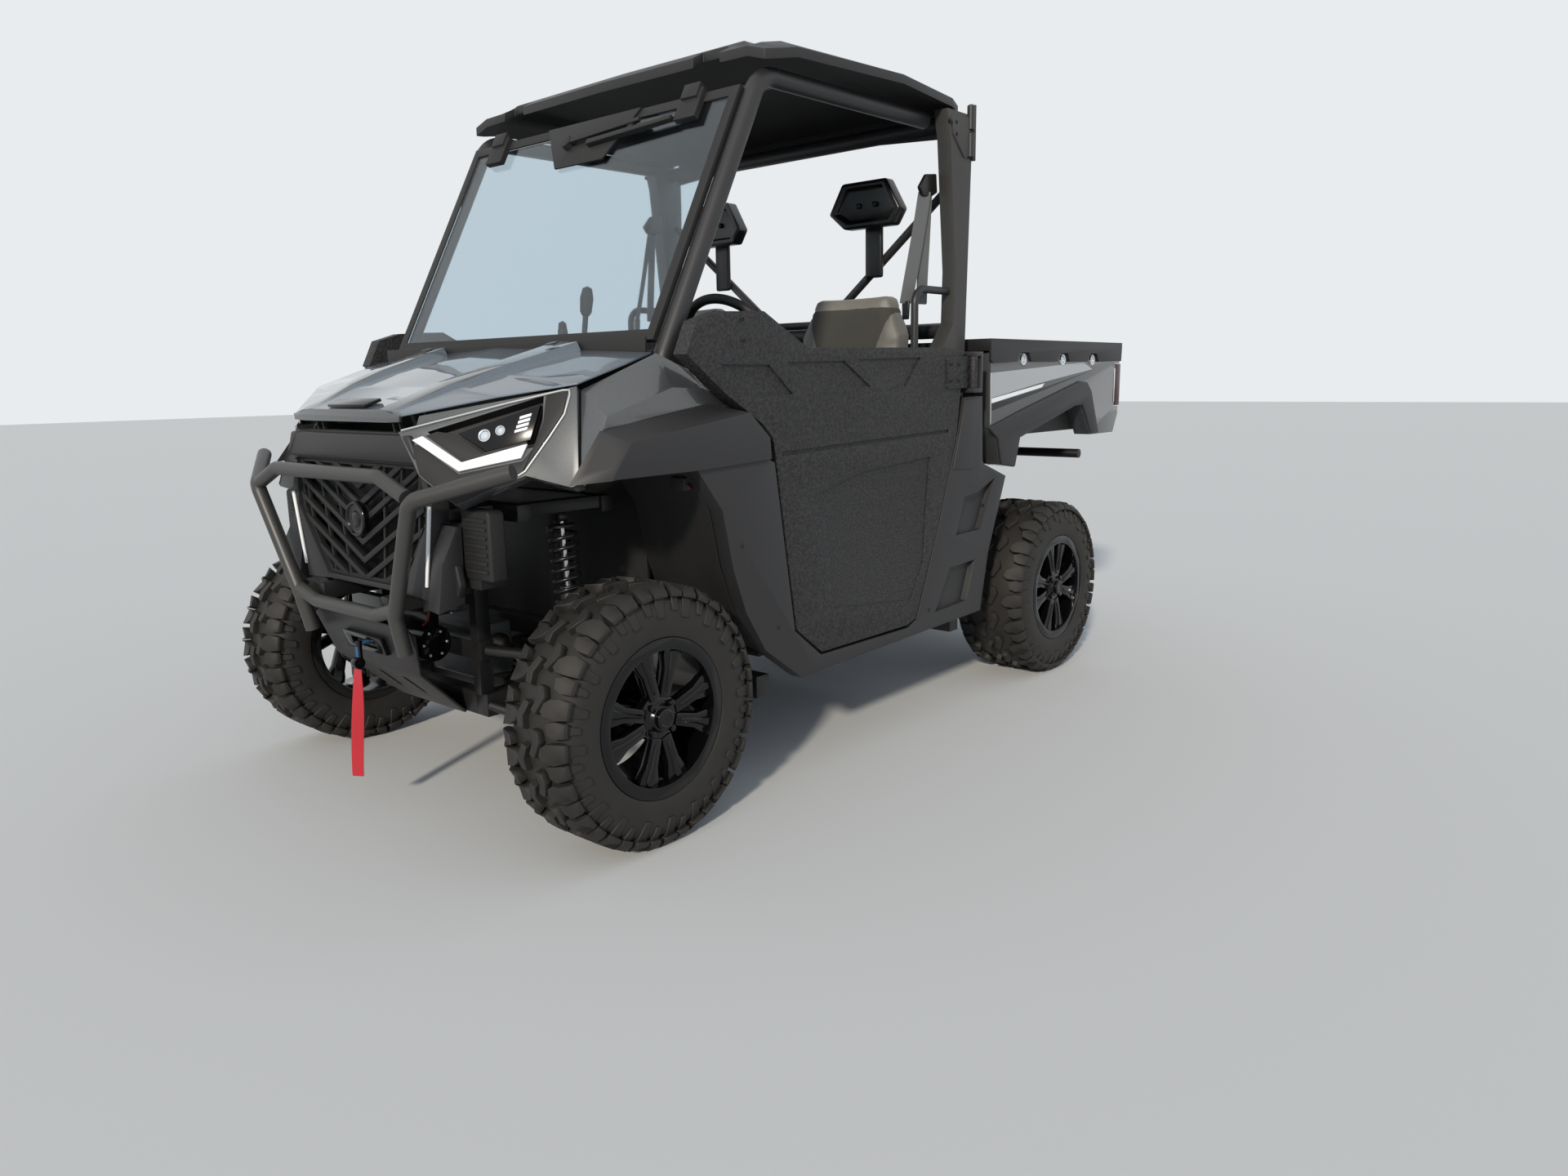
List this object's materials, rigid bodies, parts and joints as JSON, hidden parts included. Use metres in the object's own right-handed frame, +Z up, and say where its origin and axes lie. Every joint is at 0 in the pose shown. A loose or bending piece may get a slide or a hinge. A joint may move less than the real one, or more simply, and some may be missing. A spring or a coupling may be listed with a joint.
{
  "type": "side-by-side utility vehicle",
  "caption": "Side-by-side off-road vehicle with half doors, windscreen, hard roof, front winch and a tipping cargo bed.",
  "frame": {"origin": "centre of the bounding box, on the ground under the wheels", "axes": "+X to the vehicle's left, +Y to its rear, +Z up; the front faces -Y"},
  "size_m": [1.58, 3.055, 2.032],
  "materials": {
    "frame_enamel": "satin powder coat",
    "cage_paint": "satin powder coat",
    "body_silver": "metallic paint",
    "hood_paint": "gloss metallic paint",
    "dark_plastic": "fine moulded texture",
    "door_plastic": "coarse moulded texture",
    "roof_plastic": "matte moulded",
    "gloss_black": "gloss black paint",
    "tyre_rubber": "moulded rubber",
    "glass": "clear tinted",
    "lamp": "clear lens",
    "red_lens": "clear red lens",
    "vinyl_grey": "soft vinyl",
    "vinyl_black": "soft vinyl",
    "webbing": "woven",
    "red_webbing": "woven",
    "bare_metal": "machined",
    "cast_alloy": "cast"
  },
  "bodies": {
    "chassis": {"b_pillars": "cage_paint", "bumper_plate": "cage_paint", "cab_floor": "dark_plastic", "cage_cross": "cage_paint", "cage_sides": "cage_paint", "dashboard": "dark_plastic", "drive_train": "cast_alloy", "fascia": "dark_plastic", "frame": "frame_enamel", "front_bumper": "cage_paint", "front_fenders": "body_silver", "front_flares": "dark_plastic", "grille": "dark_plastic", "half_shafts": "bare_metal", "headlamps": "lamp", "headrests": "dark_plastic", "hinge_brackets": "cage_paint", "hip_hoops": "cage_paint", "levers": "dark_plastic", "rack_housing": "cast_alloy", "radiator": "cast_alloy", "rear_screen": "dark_plastic", "rear_uprights": "cast_alloy", "roof": "roof_plastic", "running_lights": "lamp", "screen_frame": "dark_plastic", "screen_glass": "glass", "seat_backs": "vinyl_grey", "seat_base": "dark_plastic", "seat_belts": "webbing", "seat_cushions": "vinyl_black", "shocks": "bare_metal", "side_sills": "dark_plastic", "steering_column": "frame_enamel", "wheel_arches": "dark_plastic", "winch": "gloss_black", "winch_strap": "red_webbing", "wiper": "dark_plastic", "wishbones": "frame_enamel"},
    "wheel_fl": {"tyre_fl": "tyre_rubber", "rim_fl": "gloss_black"},
    "wheel_fr": {"tyre_fr": "tyre_rubber", "rim_fr": "gloss_black"},
    "wheel_rl": {"tyre_rl": "tyre_rubber", "rim_rl": "gloss_black"},
    "wheel_rr": {"tyre_rr": "tyre_rubber", "rim_rr": "gloss_black"},
    "upright_fl": {"knuckle_fl": "cast_alloy"},
    "upright_fr": {"knuckle_fr": "cast_alloy"},
    "steering_rack": {"tie_rods": "bare_metal"},
    "steering_wheel": {"steering_wheel": "vinyl_black"},
    "door_left": {"door_left": "door_plastic"},
    "door_right": {"door_right": "door_plastic"},
    "hood": {"hood": "hood_paint"},
    "bed": {"bed_tub": "dark_plastic", "bed_sides": "body_silver", "bed_caps": "roof_plastic", "tail_lamps": "red_lens"},
    "tailgate": {"tailgate": "dark_plastic"}
  },
  "joints": [
    {"name": "steering_wheel_turn", "type": "hinge", "parent": "chassis", "child": "steering_wheel", "pos_m": [0.4, -0.439, 1.19], "axis": [0, 0.866, 0.5], "range_deg": [-250, 250]},
    {"name": "upright_fl_steer", "type": "hinge", "parent": "chassis", "child": "upright_fl", "pos_m": [0.59, -1.118, 0.325], "axis": [0, 0, 1], "range_deg": [-25, 25]},
    {"name": "upright_fr_steer", "type": "hinge", "parent": "chassis", "child": "upright_fr", "pos_m": [-0.59, -1.118, 0.325], "axis": [0, 0, 1], "range_deg": [-25, 25]},
    {"name": "rack_slide", "type": "slide", "parent": "chassis", "child": "steering_rack", "axis": [1, 0, 0], "range_m": [-0.036, 0.036]},
    {"name": "wheel_fl_roll", "type": "hinge", "parent": "upright_fl", "child": "wheel_fl", "pos_m": [0.6755, -1.118, 0.325], "axis": [1, 0, 0], "continuous": true},
    {"name": "wheel_fr_roll", "type": "hinge", "parent": "upright_fr", "child": "wheel_fr", "pos_m": [-0.6755, -1.118, 0.325], "axis": [1, 0, 0], "continuous": true},
    {"name": "wheel_rl_roll", "type": "hinge", "parent": "chassis", "child": "wheel_rl", "pos_m": [0.6505, 0.926, 0.325], "axis": [1, 0, 0], "continuous": true},
    {"name": "wheel_rr_roll", "type": "hinge", "parent": "chassis", "child": "wheel_rr", "pos_m": [-0.6505, 0.926, 0.325], "axis": [1, 0, 0], "continuous": true},
    {"name": "door_left_swing", "type": "hinge", "parent": "chassis", "child": "door_left", "pos_m": [0.762, 0.3, 1.13], "axis": [0, 0, 1], "range_deg": [0, 70]},
    {"name": "door_right_swing", "type": "hinge", "parent": "chassis", "child": "door_right", "pos_m": [-0.762, 0.3, 1.13], "axis": [0, 0, 1], "range_deg": [-70, 0]},
    {"name": "hood_lift", "type": "hinge", "parent": "chassis", "child": "hood", "pos_m": [0, -1.425, 1.04], "axis": [1, 0, 0], "range_deg": [0, 55]},
    {"name": "bed_tip", "type": "hinge", "parent": "chassis", "child": "bed", "pos_m": [0, 1.38, 0.862], "axis": [-1, 0, 0], "range_deg": [0, 40]},
    {"name": "tailgate_drop", "type": "hinge", "parent": "bed", "child": "tailgate", "pos_m": [0, 1.513, 0.929], "axis": [-1, 0, 0], "range_deg": [0, 90]}
  ],
  "couplings": [
    {"joint": "upright_fl_steer", "follows": "steering_wheel_turn", "ratio": 0.1},
    {"joint": "upright_fr_steer", "follows": "steering_wheel_turn", "ratio": 0.1},
    {"joint": "rack_slide", "follows": "steering_wheel_turn", "m_per_rad": -0.008136}
  ]
}
